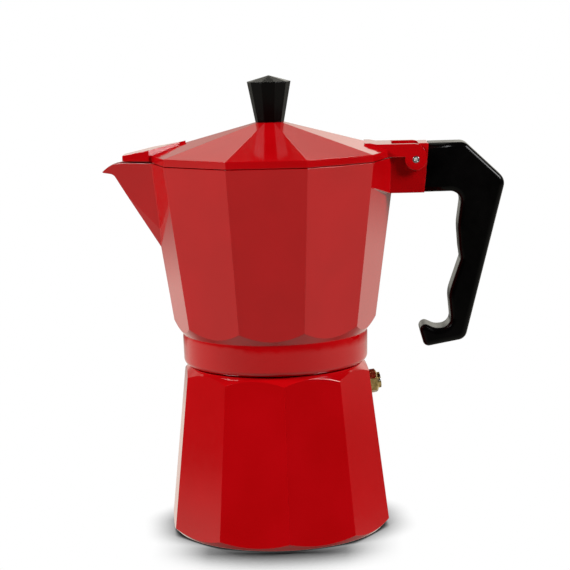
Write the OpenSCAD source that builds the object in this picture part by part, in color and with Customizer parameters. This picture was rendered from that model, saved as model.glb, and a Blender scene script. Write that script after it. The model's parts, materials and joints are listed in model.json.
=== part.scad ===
// Stovetop moka pot: ten-sided boiler and upper chamber, hinged lid, black handle.
// Millimetres, +Z up. The origin is the centre of the base, on the surface it stands on.
// The handle points along +X and the spout along -X.

/* [Body] */
// Number of flat sides on the boiler, the upper chamber, the lid and the knob
sides = 10; // [10:2:12]
// Boiler: radius to a corner just above the base rounding
boiler_r_low = 51.5; // [51:0.5:53]
// Boiler: radius to a corner at the shoulder
boiler_r_high = 43.1; // [42.6:0.1:43.6]
// Height of the boiler shoulder corners
shoulder_z = 72; // [71.5:0.1:72.5]
// Angle by which the boiler is turned when the pot is screwed tight
boiler_turn = -11.5; // [-18:0.5:18]
// Radius of the flat base
foot_r = 47.4; // [46:0.2:48.4]
// Thickness of the boiler wall, measured at the middle of a flat
boiler_wall = 3.4; // [3:0.1:3.8]

/* [Upper chamber] */
// Radius of the round collar that screws onto the boiler
collar_r = 41.9; // [41.5:0.1:42.3]
// Height of the underside of the collar
collar_z = 76.2; // [76.1:0.1:76.4]
// Radius to a corner at the lower end of the flats
chamber_r_low = 45.8; // [45.4:0.1:46.2]
// Height of the corners at the lower end of the flats
chamber_z = 95.7; // [95:0.1:96.5]
// Radius to a corner at the rim
chamber_r_rim = 56.2; // [56:0.1:56.6]
// Height of the rim
rim_z = 168; // [167.8:0.1:168.2]
// Thickness of the chamber wall
chamber_wall = 2.6; // [2.2:0.1:3]

/* [Screw thread] */
// Distance between turns of the thread
thread_pitch = 4; // [4:0.5:4.5]
// Number of turns on the boiler neck
neck_turns = 1.75; // [1.5:0.25:1.75]

/* [Lid] */
// Height of the upper edge of the lid's short vertical band
lid_band_z = 171.5; // [171:0.1:171.5]
// Radius to a corner of the lid
lid_r = 55.9; // [55.6:0.1:56.2]
// Height of the seat of the knob
lid_top_z = 184.6; // [184:0.1:184.6]
// Thickness of the lid's sheet
lid_wall = 2; // [1.6:0.1:2.2]
// Gap between the lid and the rim
lid_gap = 0.3; // [0.3:0.05:0.4]

/* [Hinge] */
// Distance from the pot's axis to the hinge pin
pin_x = 64.6; // [64.4:0.1:64.8]
// Height of the hinge pin
pin_z = 167.2; // [167:0.1:167.4]
// Diameter of the hollow hinge pin
pin_d = 3; // [2.8:0.1:3.2]
// Width of the boss that carries the handle and the lid
boss_w = 18; // [17.6:0.2:18]
// Thickness of each ear of the lid
ear_t = 2.7; // [2.4:0.1:3]

/* [Handle] */
// Thickness of the handle
handle_w = 18; // [17.6:0.2:18]
// Radius of the handle's rounded edges
handle_edge = 2.5; // [2:0.25:2.5]

/* [Knob] */
// Radius to a corner at the foot of the knob
knob_r_low = 6.4; // [6:0.1:6.6]
// Radius to a corner at the top of the knob
knob_r_high = 9.8; // [9:0.1:9.8]
// Height of the top edge of the knob
knob_edge_z = 202.6; // [200:0.2:203]
// Height of the point of the knob
knob_tip_z = 205.3; // [204:0.1:206]

/* [Safety valve] */
// Width across the flats of the valve's hexagon
valve_hex = 10; // [9.6:0.1:10.4]
// Height of the valve on the boiler
valve_z = 64.3; // [63:0.1:65]

/* [Hidden] */

enamel = "#b30d14";
bare_metal = "#b9bab8";
bakelite = "#141212";
brass = "#b09a50";
steel = "#c6c8ca";
rubber = "#d9d6cb";

$fn = 96;
eps = 0.01;
half_step = 180 / sides;
flat_of = cos(half_step);

// Boiler neck, funnel seat and screw thread
neck_z = 86;
land_z = collar_z - 0.5;
neck_r = 36.2;
neck_bore_r = 32.5;
thread_height = 1.2;
ridge_root = 2;
ridge_crest = 1;
ridge_embed = 0.4;
thread_steps = 48;
neck_thread_z = 77.8;
collar_thread_z = 79.8;
collar_turns = 1.4;
socket_top = neck_z + 1;
collar_bore_r = neck_r + thread_height + 0.4;
seat_r = 34.3;
flange_t = 1;
boiler_slope = (boiler_r_low - boiler_r_high) / shoulder_z;
base_round = 4;
boiler_floor = 3.6;

// Floor of the coffee basket, and the gasket and filter plate above it
basket_z = 56;
gasket_t = 3.5;
gasket_r = 35.4;
gasket_bore_r = 28;
plate_r = 30;
plate_t = 0.8;
gasket_top = neck_z + gasket_t;
pocket_z = 80;
plate_top = gasket_top + plate_t;

// Upper chamber
chamber_slope = (chamber_r_rim - chamber_r_low) / (rim_z - chamber_z);
chamber_floor = 98;
undercut_z = 90.6;
column_r = 8.2;
column_bore_r = 4.2;
column_top = 148;

// Lid
lid_z = rim_z + lid_gap;
lid_under_z = lid_top_z - lid_wall * 1.1;

// Hinge and boss
boss_half = boss_w / 2;
ear_gap = 0.3;
ear_in = boss_half + ear_gap;
ear_out = ear_in + ear_t;
ear_r = 4.8;
pin_bore_r = 0.3 * pin_d;
plate_z = 174.2;
web_x = 54.6;
boss_z = 152.2;
joint_low_x = 68.2;
joint_high_x = 70.5;
tongue_half = 4.5;
tongue_x = 81;
tongue_z = [157.5, 166.5];
handle_screw_x = 76.5;

// Screws of the knob and the handle
small_screw_r = 1.95;
washer_t = 0.6;
insert_r = 3.4;
insert_h = 9.5;
handle_seat_z = 154.8;
handle_washer_t = 0.8;
handle_root_x = 60;
well_z = 150;
well_r = 4.2;

// Safety valve: its axis stands square to one flat of the boiler
valve_facet = boiler_turn + half_step;
valve_lean = atan(boiler_slope * flat_of);
valve_face = (boiler_r_low - boiler_slope * valve_z) * flat_of;
shank_r = 3.9;
valve_bore_r = 2.3;

function unit(v) = v / norm(v);
function turn_between(a, b) = (((b - a) % 360) + 540) % 360 - 180;

// Arc that rounds the corner b between a and c with radius r
function corner_arc(a, b, c, r) =
    let (u = unit(a - b), v = unit(c - b), half = acos(u * v) / 2,
         centre = b + unit(u + v) * r / sin(half),
         first = b + u * r / tan(half) - centre, last = b + v * r / tan(half) - centre,
         start = atan2(first.y, first.x), sweep = turn_between(start, atan2(last.y, last.x)),
         n = max(1, ceil(abs(sweep) / 10)))
    [for (k = [0:n]) centre + r * [cos(start + sweep * k / n), sin(start + sweep * k / n)]];

// Outline through corners given as [x, y, radius]
function rounded(corners) =
    let (n = len(corners))
    [for (i = [0:n - 1])
        let (a = corners[(i + n - 1) % n], b = corners[i], c = corners[(i + 1) % n])
        each b[2] == 0 ? [[b.x, b.y]]
                       : corner_arc([a.x, a.y], [b.x, b.y], [c.x, c.y], b[2])];

// Many-sided tapered block with a corner on +X
module prism(z1, r1, z2, r2) {
    translate([0, 0, z1])
        cylinder(h = z2 - z1, r1 = r1, r2 = r2, $fn = sides);
}

module tube(z1, z2, r_out, r_in) {
    difference() {
        translate([0, 0, z1]) cylinder(h = z2 - z1, r = r_out);
        translate([0, 0, z1 - 1]) cylinder(h = z2 - z1 + 2, r = r_in);
    }
}

// Side view outline in the X-Z plane, given thickness along Y
module side_slab(width) {
    rotate([90, 0, 0])
        linear_extrude(height = width, center = true)
            children();
}

// Helical ridge from the wall radius r_root to r_crest, tapering out at both ends
module ridge(r_root, r_crest, z_start, turns) {
    steps = round(thread_steps * turns);
    side = sign(r_crest - r_root);
    function fade(i) = min(1, i / 4, (steps - i) / 4);
    function ring(i) =
        let (a = 360 * turns * i / steps, z = z_start + thread_pitch * turns * i / steps,
             r_in = r_root - side * ridge_embed,
             r_out = r_root + (r_crest - r_root) * max(0.05, fade(i)))
        [for (p = [[r_in, -ridge_root / 2], [r_out, -ridge_crest / 2],
                   [r_out, ridge_crest / 2], [r_in, ridge_root / 2]])
            [p[0] * cos(a), p[0] * sin(a), z + p[1]]];
    points = [for (i = [0:steps]) each ring(i)];
    walls = [for (i = [0:steps - 1], k = [0:3])
        let (a = 4 * i + k, b = 4 * i + (k + 1) % 4)
        side > 0 ? [a, b, b + 4, a + 4] : [a + 4, b + 4, b, a]];
    last = 4 * steps;
    ends = side > 0 ? [[3, 2, 1, 0], [last, last + 1, last + 2, last + 3]]
                    : [[0, 1, 2, 3], [last + 3, last + 2, last + 1, last]];
    polyhedron(points, concat(walls, ends));
}

// Places children on the valve's axis: their +Z points out of the boiler
module on_valve_axis() {
    rotate([0, 0, valve_facet])
        translate([valve_face, 0, valve_z])
            rotate([0, 90 - valve_lean, 0])
                children();
}

module boiler() {
    shoulder_sum = boiler_r_high + shoulder_z;
    land_r = shoulder_sum - land_z;
    cavity_r_low = boiler_r_low * flat_of - boiler_wall;
    cavity_r_high = boiler_r_high * flat_of - boiler_wall;
    color(enamel)
    difference() {
        union() {
            intersection() {
                rotate([0, 0, boiler_turn])
                    prism(0, boiler_r_low, land_z, boiler_r_low - boiler_slope * land_z);
                rotate_extrude()
                    polygon(rounded([[0, 0, 0], [foot_r, 0, 1.2],
                        [foot_r + base_round + 1, base_round + 1, 0], [foot_r + base_round + 1, 60, 0],
                        [shoulder_sum - 60, 60, 0], [land_r, land_z, 0], [0, land_z, 0]]));
            }
            translate([0, 0, land_z - 1]) cylinder(h = neck_z - land_z + 1, r = neck_r);
            ridge(neck_r, neck_r + thread_height, neck_thread_z, neck_turns);
        }
        rotate_extrude()
            polygon(rounded([[0, boiler_floor, 0], [cavity_r_low, boiler_floor, 5],
                [cavity_r_high, shoulder_z - 5, 3], [neck_bore_r, shoulder_z + 1.5, 2],
                [neck_bore_r, neck_z - flange_t, 0], [seat_r, neck_z - flange_t, 0],
                [seat_r, neck_z + 1, 0], [0, neck_z + 1, 0]]));
        on_valve_axis()
            translate([0, 0, -9]) cylinder(h = 14, r = shank_r + 0.05);
    }
}

module valve_washer() {
    color(brass)
    on_valve_axis()
        tube(0, 0.6, 4.7, shank_r + 0.05);
}

module valve_body() {
    hex_z = [0.6, 4.4];
    crown_z = 5.9;
    corner_r = valve_hex / 2 / cos(30);
    color(brass)
    on_valve_axis()
    difference() {
        union() {
            translate([0, 0, -5.5]) cylinder(h = 8, r = shank_r);
            intersection() {
                rotate([0, 0, 8])
                    translate([0, 0, hex_z[0]]) cylinder(h = hex_z[1] - hex_z[0], r = corner_r, $fn = 6);
                translate([0, 0, hex_z[0]])
                    cylinder(h = hex_z[1] - hex_z[0], r1 = corner_r + 4, r2 = corner_r - 1.3);
            }
            translate([0, 0, hex_z[1] - 1]) cylinder(h = crown_z - hex_z[1] + 1, r = 3.6);
        }
        translate([0, 0, -6.5]) cylinder(h = 4, r = 1.2);
        translate([0, 0, -4]) cylinder(h = 12, r = valve_bore_r);
        for (a = [0:60:120])
            rotate([0, 0, a + 20])
                translate([0, 0, crown_z]) cube([9, 1.1, 2.2], center = true);
    }
}

module valve_plunger() {
    color(steel)
    on_valve_axis() {
        translate([0, 0, -3.4]) cylinder(h = 0.8, r = 2);
        translate([0, 0, -3.4]) cylinder(h = 9.6, r = 0.8);
    }
}

module valve_seal() {
    color(rubber)
    on_valve_axis()
        translate([0, 0, -4]) cylinder(h = 0.6, r = 2);
}

// Compression spring: a round wire swept along a helix
module valve_spring() {
    coil_r = 1.55;
    wire_r = 0.25;
    z_low = -2.6 + wire_r;
    rise = 3.1 - wire_r - z_low;
    turns = 6;
    per_turn = 16;
    edge = 6;
    steps = turns * per_turn;
    points = [for (i = [0:steps], k = [0:edge - 1])
        let (a = 360 * i / per_turn, b = 360 * k / edge, r = coil_r + wire_r * cos(b))
        [r * cos(a), r * sin(a), z_low + rise * i / steps + wire_r * sin(b)]];
    walls = [for (i = [0:steps - 1], k = [0:edge - 1])
        let (a = edge * i + k, b = edge * i + (k + 1) % edge)
        [a, a + edge, b + edge, b]];
    color(steel)
    on_valve_axis()
        polyhedron(points, concat(walls, [[for (k = [0:edge - 1]) k],
            [for (k = [edge - 1:-1:0]) edge * steps + k]]));
}

module valve_cap() {
    color(brass)
    on_valve_axis()
        tube(3.2, 4.4, valve_bore_r, 0.9);
}

// Coffee basket with a long stem that reaches down into the water
module funnel() {
    basket_r = neck_bore_r - 0.5;
    stem_r = 5.5;
    stem_z = 9;
    t = 1;
    color(bare_metal)
    rotate_extrude()
        polygon([[stem_r - t, stem_z], [stem_r, stem_z], [stem_r, basket_z - 6],
            [basket_r - 6, basket_z - 1],
            [basket_r, basket_z + 3], [basket_r, neck_z - flange_t], [seat_r - 0.3, neck_z - flange_t],
            [seat_r - 0.3, neck_z], [basket_r - t, neck_z], [basket_r - t, basket_z + 3.4],
            [basket_r - 6.4, basket_z], [stem_r - t, basket_z - 5.6]]);
}

// Flat round plate with rings of small holes, thickness t above z
module perforated(z, t, r, first_ring, ring_gap, rings, hole_r) {
    difference() {
        translate([0, 0, z]) cylinder(h = t, r = r);
        for (k = [0:rings - 1])
            let (ring_r = first_ring + k * ring_gap, n = floor(2 * PI * ring_r / ring_gap))
            for (i = [0:n - 1])
                rotate([0, 0, 360 * i / n])
                    translate([ring_r, 0, z - 1]) cylinder(h = t + 2, r = hole_r, $fn = 8);
    }
}

module funnel_plate() {
    color(bare_metal)
    perforated(basket_z + 0.05, plate_t, 25.5, 4, 4, 5, 0.8);
}

module gasket() {
    color(rubber)
    tube(neck_z, gasket_top, gasket_r, gasket_bore_r);
}

module filter_plate() {
    color(steel)
    perforated(gasket_top, plate_t, plate_r, 4, 3.2, 7, 0.6);
}

// Boss outline seen from above: straight sides that flare into the two flats beside the +X corner
module boss_plan(flare_x, corner_r, out_x) {
    polygon([[corner_r * cos(2 * half_step) - 3, -corner_r * sin(2 * half_step)],
        [corner_r * cos(2 * half_step), -corner_r * sin(2 * half_step)],
        [flare_x, -boss_half], [out_x, -boss_half], [out_x, boss_half], [flare_x, boss_half],
        [corner_r * cos(2 * half_step), corner_r * sin(2 * half_step)],
        [corner_r * cos(2 * half_step) - 3, corner_r * sin(2 * half_step)]]);
}

module boss() {
    flare_z = 157.3;
    shelf_z = 170.2;
    post_x = pin_x + 1.3;
    wall_inset = 0.4;
    function corner_at(z) = chamber_r_low + chamber_slope * (z - chamber_z) - wall_inset;
    // Flared root against the chamber
    hull() {
        translate([44, -boss_half, boss_z]) cube([8.9, boss_w, eps]);
        translate([0, 0, flare_z])
            linear_extrude(height = eps) boss_plan(53.1, corner_at(flare_z), 53.2);
        translate([0, 0, rim_z - eps])
            linear_extrude(height = eps) boss_plan(53.9, corner_at(rim_z), 54);
    }
    // Straight block with its sloping end face, its shelf between the ears and its end post
    side_slab(boss_w)
        polygon(rounded([[46, boss_z, 0], [joint_low_x, boss_z, 0],
            [joint_high_x, plate_z, 0.6], [post_x, plate_z, 0.6], [post_x, shelf_z, 0.6],
            [lid_r + 2.4, shelf_z, 1.2], [lid_r + 0.5, rim_z, 0], [46, rim_z, 0]]));
    // Tongue that fits into the handle
    translate([joint_low_x - 1, -tongue_half, tongue_z[0]])
        cube([tongue_x - joint_low_x + 1, 2 * tongue_half, tongue_z[1] - tongue_z[0]]);
}

// Spout: a V-shaped trough whose outline is the side view cut out of a wedge
module spout(inset) {
    lip = 76 - inset;
    nose = 82.5 - 2.4 * inset;
    half_w = 13 - inset;
    low_z = 127 + 4 * inset;
    top_z = 171.5;
    intersection() {
        hull() {
            translate([-49, 0, low_z]) cube([eps, eps, eps], center = true);
            translate([-nose, 0, top_z]) cube([eps, eps, eps], center = true);
            translate([-50, 0, top_z]) cube([eps, 2 * half_w, eps], center = true);
            translate([-40, 0, (low_z + top_z) / 2]) cube([eps, half_w, top_z - low_z], center = true);
        }
        side_slab(4 * half_w)
            polygon(rounded([[-40, 118 + inset, 0], [-43.5 + inset, 117.5 + inset, 0],
                [-70.7 + inset, 162.8 + inset / 2, 3], [-lip - 0.3, 163.5 + inset / 2, 0.3],
                [-71.6, 167.6 + 4 * inset, 12], [-66, rim_z + 4 * inset, 0], [-40, rim_z + 4 * inset, 0]]));
    }
}

module collector() {
    inner_low = chamber_r_low + chamber_slope * (chamber_floor - chamber_z) - chamber_wall / flat_of;
    inner_rim = chamber_r_rim - chamber_wall / flat_of;
    undercut = (chamber_r_low - collar_r) / (chamber_z - undercut_z);
    color(enamel)
    difference() {
        union() {
            // Ten-sided upper part, cut below by a round cone so that each flat ends in an arc
            intersection() {
                prism(undercut_z - 2, chamber_r_low + chamber_slope * (undercut_z - 2 - chamber_z),
                      rim_z, chamber_r_rim);
                rotate_extrude()
                    polygon([[0, undercut_z - 2], [collar_r - 2 * undercut, undercut_z - 2],
                        [chamber_r_low, chamber_z], [chamber_r_low + 20 * undercut, chamber_z + 20],
                        [80, rim_z], [0, rim_z]]);
            }
            // Round collar
            rotate_extrude()
                polygon(rounded([[0, collar_z, 0], [collar_r - 0.3, collar_z, 2.6],
                    [collar_r, undercut_z - 2, 0], [collar_r - 0.2, undercut_z + 0.4, 0],
                    [collar_r - 3, undercut_z + 2, 0], [0, undercut_z + 2, 0]]));
            spout(0);
            boss();
        }
        // Chamber
        prism(chamber_floor, inner_low, rim_z + 1, inner_rim + chamber_slope);
        spout(1.8);
        // Socket for the boiler neck, pocket for the gasket and cone above the filter plate
        translate([0, 0, collar_z - 1]) cylinder(h = socket_top - collar_z + 1, r = collar_bore_r);
        translate([0, 0, pocket_z]) cylinder(h = gasket_top - pocket_z, r = gasket_r + 0.1);
        translate([0, 0, pocket_z]) cylinder(h = plate_top - pocket_z, r = plate_r + 0.1);
        translate([0, 0, plate_top - eps]) cylinder(h = 4, r1 = plate_r - 3, r2 = column_r + 2);
        translate([0, 0, plate_top]) cylinder(h = 20, r = column_r - 1);
        // Core in the underside of the boss
        translate([56.5, -boss_half + 2.5, boss_z - 1]) cube([8.5, boss_w - 5, 8.5]);
        // Hole for the hinge pin and threaded hole for the handle screw
        translate([pin_x, 0, pin_z]) rotate([90, 0, 0]) cylinder(h = 40, r = pin_d / 2, center = true);
        translate([handle_screw_x, 0, tongue_z[0] - 1])
            cylinder(h = 8, r = 2);
    }
    color(enamel)
    intersection() {
        ridge(collar_bore_r, neck_r + 0.4, collar_thread_z, collar_turns);
        translate([0, 0, collar_z + 0.2]) cylinder(h = socket_top - collar_z, r = collar_bore_r + 1);
    }
}

// Pipe in the middle of the chamber that the coffee rises through
module column() {
    spigot_r = column_r - 1;
    color(bare_metal)
    difference() {
        union() {
            translate([0, 0, plate_top + 4]) cylinder(h = 8, r = spigot_r);
            translate([0, 0, chamber_floor]) cylinder(h = 2, r = column_r + 1.5);
            translate([0, 0, chamber_floor])
                cylinder(h = column_top - chamber_floor, r1 = column_r, r2 = 6.4);
        }
        translate([0, 0, plate_top]) cylinder(h = column_top, r = column_bore_r);
    }
}

// Cap with two side outlets that turns the coffee outwards
module column_cap() {
    cap_r = 6.4;
    wall_top = column_top + 5;
    color(bare_metal)
    difference() {
        rotate_extrude()
            polygon(rounded([[0, column_top, 0], [cap_r, column_top, 0],
                [cap_r + 0.8, wall_top, 1], [3, wall_top + 3.5, 6], [0, wall_top + 3.6, 0]]));
        translate([0, 0, column_top - 1]) cylinder(h = 5.5, r = column_bore_r);
        for (side = [-1, 1])
            translate([0, side * 6, column_top + 2.4]) cube([5, 12, 3], center = true);
    }
}

// Outline of one ear of the lid seen from the side
module ear_plan() {
    union() {
        polygon(rounded([[web_x - 3, lid_z + 0.1, 0], [pin_x, lid_z + 0.1, 0],
            [pin_x + ear_r, pin_z, 0], [pin_x + 4.6, plate_z, 5.5], [web_x - 3, plate_z, 0]]));
        translate([pin_x, pin_z]) circle(r = ear_r);
    }
}

// Raised cover over the spout, under a roof that slopes a little less than the lid
module spout_cover(inset) {
    roof_fall = 0.205;
    roof_z = 171.3 - inset;
    end_x = 66.2 - inset;
    difference() {
        translate([0, 0, lid_z + 0.5 - 2 * inset])
            linear_extrude(height = 12)
                polygon([[-end_x, -5.2 + inset / 2], [-53.8, -10.4 + inset], [-40.6 + inset, -0.6],
                    [-38, 0], [-40.6 + inset, 0.6], [-53.8, 10.4 - inset], [-end_x, 5.2 - inset / 2]]);
        translate([-end_x, 0, roof_z])
            rotate([0, -atan(roof_fall), 0])
                translate([-20, -20, 0]) cube([60, 40, 20]);
    }
}

module lid() {
    inner_r = lid_r - lid_wall / flat_of;
    inner_top_r = knob_r_low + 1;
    color(enamel)
    difference() {
        union() {
            prism(lid_z, lid_r - 0.1, lid_band_z, lid_r);
            prism(lid_band_z, lid_r, lid_top_z, knob_r_low);
            spout_cover(0);
            // Block that joins the cone to the ears
            side_slab(2 * ear_out)
                polygon([[42, lid_z + 0.1], [web_x, lid_z + 0.1], [web_x, plate_z - 0.6],
                    [web_x - 0.6, plate_z], [47.5, plate_z], [44.5, plate_z + 0.6], [42, plate_z + 0.6]]);
            for (side = [-1, 1])
                translate([0, side * (ear_in + ear_t / 2), 0])
                    side_slab(ear_t) ear_plan();
        }
        // Hollow underside
        intersection() {
            union() {
                prism(lid_z - 1, inner_r, lid_band_z - 0.4, inner_r);
                prism(lid_band_z - 0.4 - eps, inner_r, lid_under_z, inner_top_r);
            }
            translate([-60, -60, lid_z - 2]) cube([104, 120, 30]);
        }
        spout_cover(1.8);
        translate([0, 0, lid_z]) cylinder(h = 40, r = small_screw_r + 0.25);
        translate([pin_x, 0, pin_z]) rotate([90, 0, 0])
            cylinder(h = 40, r = pin_d / 2 + 0.05, center = true);
    }
}

module hinge_pin() {
    color(steel)
    translate([pin_x, 0, pin_z])
        rotate([90, 0, 0])
            tube(-ear_out - 0.1, ear_out + 0.1, pin_d / 2, pin_bore_r);
}

module knob() {
    color(bakelite)
    difference() {
        union() {
            prism(lid_top_z, knob_r_low, knob_edge_z, knob_r_high);
            prism(knob_edge_z, knob_r_high, knob_tip_z, 0.1);
        }
        translate([0, 0, lid_top_z - 1]) cylinder(h = insert_h + 1.5, r = insert_r);
    }
}

module knob_insert() {
    color(brass)
    tube(lid_top_z, lid_top_z + insert_h, insert_r, small_screw_r + 0.05);
}

// Pan-head screw pointing up, with a cross recess: the underside of its head is at z
module pan_screw(z, r, length, head_r, head_h) {
    difference() {
        union() {
            translate([0, 0, z - eps]) cylinder(h = length, r = r);
            translate([0, 0, z - head_h])
                rotate_extrude()
                    polygon(rounded([[0, 0, 0], [head_r, 0, head_h * 0.6],
                        [head_r, head_h, 0], [0, head_h, 0]]));
        }
        for (a = [0, 90])
            rotate([0, 0, a])
                translate([0, 0, z - head_h]) cube([head_r, 0.9, head_h], center = true);
    }
}

module knob_screw() {
    color(steel)
    pan_screw(lid_under_z - washer_t, small_screw_r, 11, 3.6, 2.2);
}

module knob_washer() {
    color(steel)
    tube(lid_under_z - washer_t, lid_under_z, 4.6, small_screw_r + 0.25);
}

// Side view of the handle: a top arm, a sloping grip with finger waves and an inward hook
module handle_outline() {
    polygon(rounded([
        [handle_root_x, boss_z, 0], [85, 152.4, 4.5], [82.8, 137, 25], [83.4, 126.5, 4], [84, 122, 1.5],
        [78.4, 106, 14], [79.6, 91, 4.6], [72.3, 90.6, 6], [63.9, 94.8, 1.6], [67.4, 82.2, 2],
        [85.8, 85.6, 4.6], [104.5, 157.2, 5.5], [86.6, plate_z, 5], [handle_root_x, 174, 0]]));
}

module handle() {
    lean = atan((joint_high_x - joint_low_x) / (plate_z - boss_z));
    color(bakelite)
    difference() {
        minkowski() {
            side_slab(handle_w - 2 * handle_edge)
                offset(delta = -handle_edge) handle_outline();
            sphere(r = handle_edge, $fn = 16);
        }
        // Flat end against the boss
        translate([joint_low_x, 0, boss_z])
            rotate([0, lean, 0])
                translate([-40, -20, -5]) cube([40, 40, 40]);
        // Socket for the tongue
        translate([handle_root_x, -tongue_half - 0.1, tongue_z[0] - 0.1])
            cube([tongue_x - handle_root_x + 0.3, 2 * tongue_half + 0.2, tongue_z[1] - tongue_z[0] + 0.2]);
        translate([handle_screw_x, 0, well_z]) cylinder(h = 10, r = small_screw_r + 0.35);
        translate([handle_screw_x, 0, well_z])
            cylinder(h = handle_seat_z + handle_washer_t - well_z, r = well_r);
    }
}

module handle_screw() {
    color(steel)
    translate([handle_screw_x, 0, 0])
        pan_screw(handle_seat_z, small_screw_r, 8.5, 3.5, 2);
}

module handle_washer() {
    color(steel)
    translate([handle_screw_x, 0, 0])
        tube(handle_seat_z, handle_seat_z + handle_washer_t, 3.6, small_screw_r + 0.15);
}

boiler();
valve_washer();
valve_body();
valve_plunger();
valve_seal();
valve_spring();
valve_cap();
funnel();
funnel_plate();
gasket();
filter_plate();
collector();
column();
column_cap();
lid();
hinge_pin();
knob();
knob_insert();
knob_screw();
knob_washer();
handle();
handle_screw();
handle_washer();
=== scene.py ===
"""Looks for the moka pot: softened castings, glossy enamel, moulded handle and studio light."""

import json
import math

import bmesh
import bpy
from mathutils import Matrix, Vector


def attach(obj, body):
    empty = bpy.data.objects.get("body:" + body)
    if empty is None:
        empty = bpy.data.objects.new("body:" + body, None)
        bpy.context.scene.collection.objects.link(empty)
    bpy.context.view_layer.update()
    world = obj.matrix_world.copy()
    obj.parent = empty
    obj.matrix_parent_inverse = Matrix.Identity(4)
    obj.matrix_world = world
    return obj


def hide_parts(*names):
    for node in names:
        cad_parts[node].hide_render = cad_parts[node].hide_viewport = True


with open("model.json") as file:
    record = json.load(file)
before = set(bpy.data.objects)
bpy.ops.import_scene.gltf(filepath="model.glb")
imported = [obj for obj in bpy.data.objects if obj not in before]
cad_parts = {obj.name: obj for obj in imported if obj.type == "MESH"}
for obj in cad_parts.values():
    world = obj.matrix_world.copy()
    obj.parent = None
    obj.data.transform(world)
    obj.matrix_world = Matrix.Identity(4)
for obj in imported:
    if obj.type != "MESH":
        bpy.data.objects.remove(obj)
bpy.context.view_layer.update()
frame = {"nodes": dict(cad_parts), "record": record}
NODES = frame["nodes"]
BODY_OF = {node: body for body, nodes in frame["record"]["behaviour"]["bodies"].items() for node in nodes}
SLOT_OF = {part["node"]: part["material_slot"] for part in frame["record"]["subparts"]}
MM = 0.001


# ---------------------------------------------------------------- camera

# Distances in metres, angles in degrees
CAMERA_AZIMUTH = 2.056     # from -Y towards +X
CAMERA_DISTANCE = 0.8416   # from the pot's axis
CAMERA_HEIGHT = 0.2398
CAMERA_TURN = 1.717        # to the left of +Y
CAMERA_DOWN = 8.732
CAMERA_ROLL = -1.466
CAMERA_LENS = 118.6
CAMERA_SENSOR = 36
CAMERA_NEAR = 0.01


def make_camera():
    data = bpy.data.cameras.new("camera")
    data.lens = CAMERA_LENS
    data.sensor_width = CAMERA_SENSOR
    data.clip_start = CAMERA_NEAR
    camera = bpy.data.objects.new("camera", data)
    bpy.context.scene.collection.objects.link(camera)
    azimuth = math.radians(CAMERA_AZIMUTH)
    place = Matrix.Translation((CAMERA_DISTANCE * math.sin(azimuth),
                                -CAMERA_DISTANCE * math.cos(azimuth), CAMERA_HEIGHT))
    turn = Matrix.Rotation(math.radians(CAMERA_TURN), 4, "Z")
    tilt = Matrix.Rotation(math.radians(90 - CAMERA_DOWN), 4, "X")
    roll = Matrix.Rotation(math.radians(CAMERA_ROLL), 4, "Z")
    camera.matrix_world = place @ turn @ tilt @ roll
    bpy.context.scene.camera = camera


# ---------------------------------------------------------------- materials

# Colours are linear red, green and blue; lengths are metres
RED_DEEP = (0.40, 0.0006, 0.002)
RED_BRIGHT = (0.44, 0.0009, 0.003)
BLACK_DEEP = (0.0008, 0.0007, 0.0007)
BLACK_WORN = (0.0016, 0.0014, 0.0014)
BRASS_DARK = (0.36, 0.24, 0.08)
BRASS_BRIGHT = (0.62, 0.47, 0.20)
STEEL_DARK = (0.50, 0.51, 0.53)
STEEL_BRIGHT = (0.66, 0.67, 0.69)
CAST_DARK = (0.56, 0.56, 0.55)
CAST_BRIGHT = (0.70, 0.70, 0.69)
SEAL_DARK = (0.66, 0.63, 0.56)
SEAL_BRIGHT = (0.76, 0.73, 0.66)
ENAMEL_ROUNDING = 0.0004
PLASTIC_ROUNDING = 0.0007
ROUNDING_SAMPLES = 6
NOISE_LOW = 0.35           # most noise values lie between these two
NOISE_HIGH = 0.65


def shader(name, **inputs):
    """A new material with its Principled shader's own sockets set from keyword values."""
    material = bpy.data.materials.new(name)
    material.use_nodes = True
    bsdf = material.node_tree.nodes["Principled BSDF"]
    for key, value in inputs.items():
        bsdf.inputs[key.replace("_", " ")].default_value = value
    return material, material.node_tree, bsdf


def link(tree, source, target):
    tree.links.new(source, target)


def noise(tree, scale, detail):
    """Noise in object space; scale is in features per metre."""
    coordinates = tree.nodes.new("ShaderNodeTexCoord")
    texture = tree.nodes.new("ShaderNodeTexNoise")
    texture.inputs["Scale"].default_value = scale
    texture.inputs["Detail"].default_value = detail
    link(tree, coordinates.outputs["Object"], texture.inputs["Vector"])
    return texture.outputs["Fac"]


def spread(tree, value, low, high, start=NOISE_LOW, end=NOISE_HIGH):
    """Maps a value between start and end to the range low to high."""
    node = tree.nodes.new("ShaderNodeMapRange")
    node.inputs["From Min"].default_value = start
    node.inputs["From Max"].default_value = end
    node.inputs["To Min"].default_value = low
    node.inputs["To Max"].default_value = high
    link(tree, value, node.inputs["Value"])
    return node.outputs["Result"]


def tint(tree, bsdf, factor, first, second):
    """Colours the shader with a blend of two colours by a noise value."""
    ramp = tree.nodes.new("ShaderNodeValToRGB")
    stops = ramp.color_ramp.elements
    for stop, position, colour in zip(stops, (NOISE_LOW, NOISE_HIGH), (first, second)):
        stop.position = position
        stop.color = (*colour, 1)
    link(tree, factor, ramp.inputs["Fac"])
    link(tree, ramp.outputs["Color"], bsdf.inputs["Base Color"])


def polish(tree, bsdf, factor, low, high):
    """Lets the shader's roughness vary between low and high by a noise value."""
    link(tree, spread(tree, factor, low, high), bsdf.inputs["Roughness"])


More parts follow.
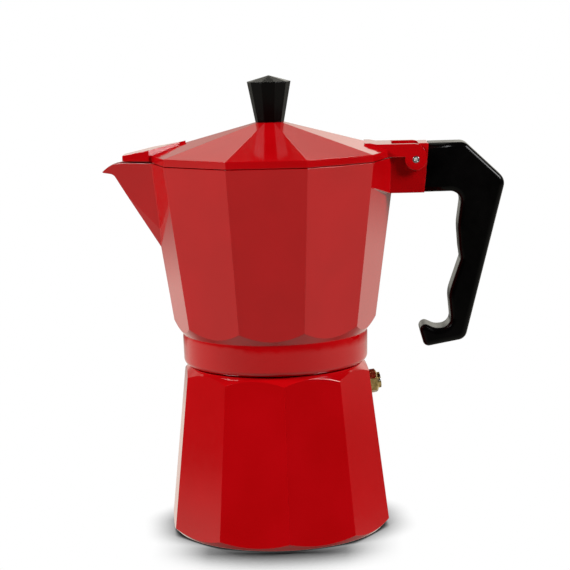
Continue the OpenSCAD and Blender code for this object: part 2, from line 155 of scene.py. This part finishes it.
def bump(tree, bsdf, height, distance, strength):
    """Adds height as bump over any bump that the shader already has."""
    node = tree.nodes.new("ShaderNodeBump")
    node.inputs["Distance"].default_value = distance
    node.inputs["Strength"].default_value = strength
    link(tree, height, node.inputs["Height"])
    socket = bsdf.inputs["Normal"]
    if socket.is_linked:
        link(tree, socket.links[0].from_socket, node.inputs["Normal"])
    link(tree, node.outputs["Normal"], socket)


def round_edges(tree, bsdf, radius):
    """Shades every edge as if it were rounded, the way thick enamel and moulded plastic are."""
    node = tree.nodes.new("ShaderNodeBevel")
    node.samples = ROUNDING_SAMPLES
    node.inputs["Radius"].default_value = radius
    link(tree, node.outputs["Normal"], bsdf.inputs["Normal"])


def enamel():
    """Glossy red stove enamel, with faint orange peel and a slightly uneven film."""
    material, tree, bsdf = shader("red_enamel", IOR=1.5)
    round_edges(tree, bsdf, ENAMEL_ROUNDING)
    tint(tree, bsdf, noise(tree, scale=35, detail=3), RED_DEEP, RED_BRIGHT)
    polish(tree, bsdf, noise(tree, scale=420, detail=3), low=0.075, high=0.105)
    bump(tree, bsdf, noise(tree, scale=700, detail=1), distance=0.000008, strength=0.2)
    return material


def bakelite():
    """Black phenolic plastic with a dull shine."""
    material, tree, bsdf = shader("black_plastic", IOR=1.52, Specular_IOR_Level=0.1)
    round_edges(tree, bsdf, PLASTIC_ROUNDING)
    tint(tree, bsdf, noise(tree, scale=60, detail=3), BLACK_DEEP, BLACK_WORN)
    polish(tree, bsdf, noise(tree, scale=300, detail=4), low=0.17, high=0.24)
    bump(tree, bsdf, noise(tree, scale=900, detail=2), distance=0.00001, strength=0.25)
    return material


def brass():
    """Turned brass with dull patches."""
    material, tree, bsdf = shader("brass", Metallic=1.0)
    tint(tree, bsdf, noise(tree, scale=700, detail=4), BRASS_DARK, BRASS_BRIGHT)
    polish(tree, bsdf, noise(tree, scale=900, detail=3), low=0.18, high=0.38)
    bump(tree, bsdf, noise(tree, scale=2500, detail=2), distance=0.00003, strength=0.4)
    return material


def steel():
    """Plain bright steel of the pin, screws, washers and plates."""
    material, tree, bsdf = shader("steel", Metallic=1.0)
    tint(tree, bsdf, noise(tree, scale=400, detail=3), STEEL_DARK, STEEL_BRIGHT)
    polish(tree, bsdf, noise(tree, scale=600, detail=3), low=0.16, high=0.30)
    return material


def aluminium():
    """Bare cast and spun aluminium, satin, with a little pitting."""
    material, tree, bsdf = shader("bare_aluminium", Metallic=1.0)
    tint(tree, bsdf, noise(tree, scale=150, detail=4), CAST_DARK, CAST_BRIGHT)
    polish(tree, bsdf, noise(tree, scale=500, detail=4), low=0.28, high=0.45)
    bump(tree, bsdf, noise(tree, scale=1200, detail=4), distance=0.00005, strength=0.4)
    return material


def rubber():
    """Pale, matt rubber of the seals."""
    material, tree, bsdf = shader("seal_rubber", IOR=1.42)
    tint(tree, bsdf, noise(tree, scale=200, detail=3), SEAL_DARK, SEAL_BRIGHT)
    polish(tree, bsdf, noise(tree, scale=800, detail=3), low=0.5, high=0.7)
    bump(tree, bsdf, noise(tree, scale=1800, detail=3), distance=0.00004, strength=0.3)
    return material


def make_materials():
    """Every finish, under the name of its slot."""
    return {"red_enamel": enamel(), "black_plastic": bakelite(), "brass": brass(), "steel": steel(),
            "bare_aluminium": aluminium(), "seal_rubber": rubber()}


# ---------------------------------------------------------------- pieces

def finish_piece(piece, node, materials):
    """A piece that stands for one CAD node: it rides on the node's body and takes its finish."""
    piece.data.materials.clear()
    piece.data.materials.append(materials[SLOT_OF[node]])
    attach(piece, BODY_OF[node])
    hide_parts(node)


# Node: width of the rounding in millimetres, and the least angle in degrees between faces that gets it
SOFT_EDGES = {
    "boiler": (0.5, 12),
    "collector": (0.45, 12),
    "lid": (0.5, 5),
    "knob": (0.45, 5),
    "valve_body": (0.2, 20),
    "hinge_pin": (0.15, 30),
    "column": (0.3, 30),
    "column_cap": (0.3, 30),
    "funnel": (0.2, 30),
    "gasket": (0.3, 30),
    "valve_plunger": (0.15, 30),
}
SOFT_SEGMENTS = 3
SOFT_EVENNESS = 80         # at 50 faces count by their area in the shading, above it large ones count more
FLAT_ANGLE = 0.3           # degrees between faces that still count as one flat
SAME_PLACE = 1e-6          # metres between points that count as one


def shade_evenly(piece, evenness):
    """Keeps large flats flat in the shading, next to small rounded edges."""
    even = piece.modifiers.new("even_shading", "WEIGHTED_NORMAL")
    even.weight = evenness


def soften(node, width, angle, materials):
    """A copy of a CAD node's mesh with flat regions merged and its sharp edges rounded."""
    mesh = NODES[node].data.copy()
    mesh.name = f"{node}_soft"
    piece = bpy.data.objects.new(f"{node}_soft", mesh)
    bpy.context.scene.collection.objects.link(piece)
    work = bmesh.new()
    work.from_mesh(mesh)
    bmesh.ops.remove_doubles(work, verts=work.verts, dist=SAME_PLACE)
    bmesh.ops.dissolve_limit(work, angle_limit=math.radians(FLAT_ANGLE), verts=work.verts, edges=work.edges)
    for face in work.faces:
        face.smooth = True
    work.to_mesh(mesh)
    work.free()
    bevel = piece.modifiers.new("rounded_edges", "BEVEL")
    bevel.width = width
    bevel.segments = SOFT_SEGMENTS
    bevel.limit_method = "ANGLE"
    bevel.angle_limit = math.radians(angle)
    bevel.use_clamp_overlap = True
    bevel.miter_outer = "MITER_ARC"
    weld = piece.modifiers.new("merged_points", "WELD")
    weld.merge_threshold = SAME_PLACE
    shade_evenly(piece, SOFT_EVENNESS)
    finish_piece(piece, node, materials)


def new_piece(name, work):
    """Turns a bmesh into an object with smooth faces."""
    for face in work.faces:
        face.smooth = True
    mesh = bpy.data.meshes.new(name)
    work.to_mesh(mesh)
    work.free()
    piece = bpy.data.objects.new(name, mesh)
    bpy.context.scene.collection.objects.link(piece)
    return piece


ARC_STEP = 5               # degrees between the points of an arc


def corner_arc(before, corner, after, radius):
    """Points of the arc that rounds a corner."""
    first, last = (before - corner).normalized(), (after - corner).normalized()
    half = first.angle(last) / 2
    centre = corner + (first + last).normalized() * radius / math.sin(half)
    start = corner + first * radius / math.tan(half) - centre
    sweep = start.angle_signed(corner + last * radius / math.tan(half) - centre)
    count = max(1, math.ceil(math.degrees(abs(sweep)) / ARC_STEP))
    return [centre + Matrix.Rotation(-sweep * k / count, 2) @ start for k in range(count + 1)]


def rounded(corners):
    """Outline through corners given as (x, z, radius)."""
    points = [Vector((x, z)) for x, z, radius in corners]
    outline = []
    for k, (x, z, radius) in enumerate(corners):
        if radius == 0:
            outline.append(points[k])
        else:
            outline += corner_arc(points[k - 1], points[k], points[(k + 1) % len(points)], radius)
    return outline


def block(work, low, high):
    """Adds a closed box between two corners; bits 0, 1 and 2 of k say where x, y and z are high."""
    at = [work.verts.new([(low, high)[(k >> axis) & 1][axis] for axis in range(3)]) for k in range(8)]
    for loop in ((0, 2, 3, 1), (4, 5, 7, 6), (0, 1, 5, 4), (2, 6, 7, 3), (0, 4, 6, 2), (1, 3, 7, 5)):
        work.faces.new([at[k] for k in loop])


def cut_away(piece, work):
    """Cuts the shape in a bmesh out of a piece for good."""
    cutter = new_piece("cutter", work)
    modifier = piece.modifiers.new("cut", "BOOLEAN")
    modifier.object = cutter
    modifier.solver = "EXACT"
    bpy.context.view_layer.update()
    shaped = bpy.data.meshes.new_from_object(piece.evaluated_get(bpy.context.evaluated_depsgraph_get()))
    piece.modifiers.clear()
    piece.data = shaped
    bpy.data.objects.remove(cutter)


# All in millimetres. Side view of the handle, as x, z and corner radius. The hook's two corners are
# rounder than in the CAD, so that the rounded edge fits round them
HANDLE_CORNERS = [(60, 152.2, 0), (85, 152.4, 4.5), (82.8, 137, 25), (83.4, 126.5, 4), (84, 122, 1.5),
                  (78.4, 106, 14), (79.6, 91, 4.6), (72.3, 90.6, 6), (63.9, 94.8, 2.6), (67.4, 82.2, 2.6),
                  (85.8, 85.6, 4.6), (104.43, 157.2, 5.5), (86.6, 174.2, 5), (60, 174, 0)]
HANDLE_HALF = 9.0                       # half of the width
HANDLE_EDGE = 2.5                       # rounding along the outline
HANDLE_EDGE_SEGMENTS = 6
HANDLE_EVENNESS = 60
JOINT_LOW = Vector((68.2, 0, 152.2))    # flat end against the boss
JOINT_HIGH = Vector((70.5, 0, 174.2))
SOCKET_LOW = Vector((60, -4.6, 157.4))  # room for the boss's tongue
SOCKET_HIGH = Vector((81.3, 4.6, 166.6))
WELL_X = 76.5                           # well of the handle's screw
WELL_TOP = 155.6
WELL_DEPTH = 12
WELL_RADIUS = 4.2
WELL_SIDES = 48


def handle(materials):
    """Moulded handle: an outline with evenly rounded edges, cut off flat where it meets the boss."""
    outline = [Vector(p) * MM for p in rounded(HANDLE_CORNERS)]
    work = bmesh.new()
    near, far = ([work.verts.new((p.x, side * HANDLE_HALF * MM, p.y)) for p in outline]
                 for side in (-1, 1))
    rims = [work.faces.new(near), work.faces.new(far)]
    for k in range(len(outline)):
        work.faces.new((near[k - 1], near[k], far[k], far[k - 1]))
    bmesh.ops.recalc_face_normals(work, faces=work.faces)
    edges = {edge for face in rims for edge in face.edges}
    bmesh.ops.bevel(work, geom=list(edges), offset=HANDLE_EDGE * MM, segments=HANDLE_EDGE_SEGMENTS,
                    profile=0.5, affect="EDGES", clamp_overlap=False)
    rise = JOINT_HIGH - JOINT_LOW
    bmesh.ops.bisect_plane(work, geom=work.verts[:] + work.edges[:] + work.faces[:],
                           plane_co=JOINT_LOW * MM, plane_no=(rise.z, 0, -rise.x), clear_inner=True)
    bmesh.ops.edgenet_fill(work, edges=[edge for edge in work.edges if edge.is_boundary])
    bmesh.ops.recalc_face_normals(work, faces=work.faces)
    piece = new_piece("handle_moulded", work)
    socket = bmesh.new()
    block(socket, SOCKET_LOW * MM, SOCKET_HIGH * MM)
    cut_away(piece, socket)
    well = bmesh.new()
    middle = Matrix.Translation(Vector((WELL_X, 0, WELL_TOP - WELL_DEPTH / 2)) * MM)
    bmesh.ops.create_cone(well, cap_ends=True, segments=WELL_SIDES, radius1=WELL_RADIUS * MM,
                          radius2=WELL_RADIUS * MM, depth=WELL_DEPTH * MM, matrix=middle)
    cut_away(piece, well)
    shade_evenly(piece, HANDLE_EVENNESS)
    finish_piece(piece, "handle", materials)


# ---------------------------------------------------------------- studio

FLOOR_RADIUS = 30
FLOOR_SIDES = 96
SHADE_SAMPLES = 16
FULL_SHADE = 0.03          # least light that the floor keeps under the pot

# Soft shade on the floor: reach in metres, open share of the sky where it is full (start) and gone (end)
LONG_SHADE = {"reach": 0.035, "start": 0.6, "end": 0.98, "power": 1.7}     # in front of the foot
TIGHT_SHADE = {"reach": 0.014, "start": 0.25, "end": 0.99, "power": 1.1}   # all round the foot
LONG_SHADE_Y = (-0.05, -0.015)                                             # where the long one fades out
LONG_SHADE_X = (0.03, 0.055)

# Glow of the white room as it is mirrored in the pot. A pair is the stretch over which a glow changes,
# in the direction's part along the axis that its name ends with
GROUND_FRONT = 0.36        # the white ground in front, beside and behind
GROUND_SIDE = 0.60
GROUND_BEHIND = 0.66
GROUND_FRONT_Y = (-0.95, -0.35)
GROUND_BEHIND_Y = (0, 0.6)
GROUND_Z = (-0.205, -0.165)
LEFT_RISE = 0.06           # on the left the ground reaches this much higher
LEFT_RISE_X = (-0.75, -0.55)
UNDER_DARK = 0.8           # how much darker the ground is close behind the foot
UNDER_Y = (0.1, 0.4)
UNDER_Z = (-0.6, -0.45)
BEHIND_Y = (0.4, 0.7)      # where the backdrop fades in; it goes from the table upwards
TABLE_GLOW = 0.12
HORIZON_GLOW = 0.8
HORIZON_Z = (-0.12, -0.04)
SHELF_LEFT = 0.30
SHELF_RIGHT = 1.3
SHELF_X = (-0.12, 0.12)
SHELF_Z = (0.12, 0.22)
UPPER_LEFT = 0.60
UPPER_RIGHT = 0.34
UPPER_X = (-0.1, 0.1)
UPPER_Z = (0.33, 0.40)
EDGE_GLOW = 2.0            # bright edge of the backdrop, which draws the lid's front ridges
EDGE_Z = (0.51, 0.52)
TOP_Z = (0.535, 0.55)      # top of the backdrop and of both sides
SIDE_GLOW = 0.04
SIDE_Y = (-0.5, 0.1)
ROOM_GLOW = 0.02
ROOM_COLOUR = {"Red": 1, "Green": 0.97, "Blue": 0.86}

BOX_PLACE = Vector((1.2, -0.56, 0.93))    # of the right one; the left one mirrors it
BOX_TARGET = Vector((0, 0, 0.1))
BOX_SIZE = 0.55
BOX_POWER = {"left": 28.5, "right": 27}


def combine(tree, operation, first, second):
    """A math node on two values, each a number or another node's output."""
    node = tree.nodes.new("ShaderNodeMath")
    node.operation = operation
    for socket, value in zip(node.inputs, (first, second)):
        if isinstance(value, (int, float)):
            socket.default_value = value
        else:
            link(tree, value, socket)
    return node.outputs["Value"]


def product(tree, first, *others):
    for value in others:
        first = combine(tree, "MULTIPLY", first, value)
    return first


def total(tree, first, *others):
    for value in others:
        first = combine(tree, "ADD", first, value)
    return first


def fade_in(tree, value, stretch):
    """0 before the stretch and 1 after it."""
    return spread(tree, value, 0, 1, *stretch)


def fade_out(tree, value, stretch):
    """1 before the stretch and 0 after it."""
    return spread(tree, value, 1, 0, *stretch)


def contact_shade(tree, reach, start, end, power):
    """How dark the floor is near what stands on it: 0 is clear, 1 is black."""
    nearby = tree.nodes.new("ShaderNodeAmbientOcclusion")
    nearby.samples = SHADE_SAMPLES
    nearby.inputs["Distance"].default_value = reach
    clear = combine(tree, "POWER", spread(tree, nearby.outputs["AO"], FULL_SHADE, 1, start, end), power)
    return combine(tree, "SUBTRACT", 1, clear)


def floor_white():
    """White to the camera but for the soft shade round the foot; all other light passes through."""
    material = bpy.data.materials.new("floor_white")
    material.use_nodes = True
    tree = material.node_tree
    tree.nodes.remove(tree.nodes["Principled BSDF"])
    place = tree.nodes.new("ShaderNodeSeparateXYZ")
    link(tree, tree.nodes.new("ShaderNodeNewGeometry").outputs["Position"], place.inputs["Vector"])
    across = combine(tree, "ABSOLUTE", place.outputs["X"], 0)
    long_shade = product(tree, fade_out(tree, place.outputs["Y"], LONG_SHADE_Y),
                         fade_out(tree, across, LONG_SHADE_X), contact_shade(tree, **LONG_SHADE))
    dark = combine(tree, "MAXIMUM", long_shade, contact_shade(tree, **TIGHT_SHADE))
    white = tree.nodes.new("ShaderNodeEmission")
    link(tree, combine(tree, "SUBTRACT", 1, dark), white.inputs["Color"])
    clear = tree.nodes.new("ShaderNodeBsdfTransparent")
    seen = tree.nodes.new("ShaderNodeLightPath")
    blend = tree.nodes.new("ShaderNodeMixShader")
    link(tree, seen.outputs["Is Camera Ray"], blend.inputs["Fac"])
    link(tree, clear.outputs["BSDF"], blend.inputs[1])
    link(tree, white.outputs["Emission"], blend.inputs[2])
    link(tree, blend.outputs["Shader"], tree.nodes["Material Output"].inputs["Surface"])
    return material


def make_floor():
    bpy.ops.mesh.primitive_circle_add(vertices=FLOOR_SIDES, radius=FLOOR_RADIUS, fill_type="NGON")
    floor = bpy.context.object
    floor.name = "floor"
    floor.data.materials.append(floor_white())


def make_softbox(side, place):
    """A square lamp aimed at the pot and out of the camera's sight."""
    data = bpy.data.lights.new(f"{side}_box", "AREA")
    data.size = BOX_SIZE
    data.energy = BOX_POWER[side]
    light = bpy.data.objects.new(f"{side}_box", data)
    light.location = place
    light.rotation_euler = (BOX_TARGET - place).to_track_quat("-Z", "Y").to_euler()
    light.visible_camera = False
    bpy.context.scene.collection.objects.link(light)


def ground_glow(tree, x, y, z):
    """The white ground, darker close behind the pot's foot."""
    glow = total(tree, spread(tree, y, GROUND_FRONT, GROUND_SIDE, *GROUND_FRONT_Y),
                 spread(tree, y, 0, GROUND_BEHIND - GROUND_SIDE, *GROUND_BEHIND_Y))
    height = total(tree, z, spread(tree, x, -LEFT_RISE, 0, *LEFT_RISE_X))
    hidden = product(tree, fade_out(tree, z, UNDER_Z), spread(tree, y, 0, UNDER_DARK, *UNDER_Y))
    return product(tree, glow, fade_out(tree, height, GROUND_Z), combine(tree, "SUBTRACT", 1, hidden))


def backdrop_glow(tree, x, y, z):
    """What stands behind the pot: table, horizon, shelf and upper part with a bright edge."""
    low = product(tree, spread(tree, z, TABLE_GLOW, HORIZON_GLOW, *HORIZON_Z), fade_out(tree, z, SHELF_Z))
    shelf = product(tree, spread(tree, x, SHELF_LEFT, SHELF_RIGHT, *SHELF_X),
                    fade_in(tree, z, SHELF_Z), fade_out(tree, z, UPPER_Z))
    upper = product(tree, spread(tree, x, UPPER_LEFT, UPPER_RIGHT, *UPPER_X), fade_in(tree, z, UPPER_Z))
    upper = total(tree, upper, spread(tree, z, 0, EDGE_GLOW, *EDGE_Z))
    upper = product(tree, upper, fade_out(tree, z, TOP_Z))
    return product(tree, fade_in(tree, y, BEHIND_Y), total(tree, low, shelf, upper))


def side_glow(tree, y, z):
    """Faint light from both sides of the room."""
    return product(tree, spread(tree, y, 0, SIDE_GLOW, *SIDE_Y), fade_out(tree, z, TOP_Z))


def make_world():
    """White all round for the camera; for the light, the glow of a white room by direction."""
    world = bpy.data.worlds.new("studio")
    world.use_nodes = True
    bpy.context.scene.world = world
    tree = world.node_tree
    background = tree.nodes["Background"]
    direction = tree.nodes.new("ShaderNodeSeparateXYZ")
    link(tree, tree.nodes.new("ShaderNodeTexCoord").outputs["Generated"], direction.inputs["Vector"])
    x, y, z = (direction.outputs[axis] for axis in "XYZ")
    glow = total(tree, ground_glow(tree, x, y, z), backdrop_glow(tree, x, y, z), side_glow(tree, y, z),
                 ROOM_GLOW)
    seen = tree.nodes.new("ShaderNodeLightPath").outputs["Is Camera Ray"]
    strength = tree.nodes.new("ShaderNodeMix")
    link(tree, seen, strength.inputs["Factor"])
    link(tree, glow, strength.inputs["A"])
    strength.inputs["B"].default_value = 1.0
    warm = tree.nodes.new("ShaderNodeCombineColor")
    for channel, value in ROOM_COLOUR.items():
        link(tree, spread(tree, seen, value, 1, 0, 1), warm.inputs[channel])
    link(tree, warm.outputs["Color"], background.inputs["Color"])
    link(tree, strength.outputs["Result"], background.inputs["Strength"])


def make_studio():
    make_floor()
    make_world()
    make_softbox("left", BOX_PLACE * Vector((-1, 1, 1)))
    make_softbox("right", BOX_PLACE)
    bpy.context.scene.view_settings.view_transform = "Standard"


make_camera()
make_studio()
MATERIALS = make_materials()
for name, node_object in NODES.items():
    node_object.data.materials.clear()
    node_object.data.materials.append(MATERIALS[SLOT_OF[name]])
for name, (width, angle) in SOFT_EDGES.items():
    soften(name, width * MM, angle, MATERIALS)
handle(MATERIALS)
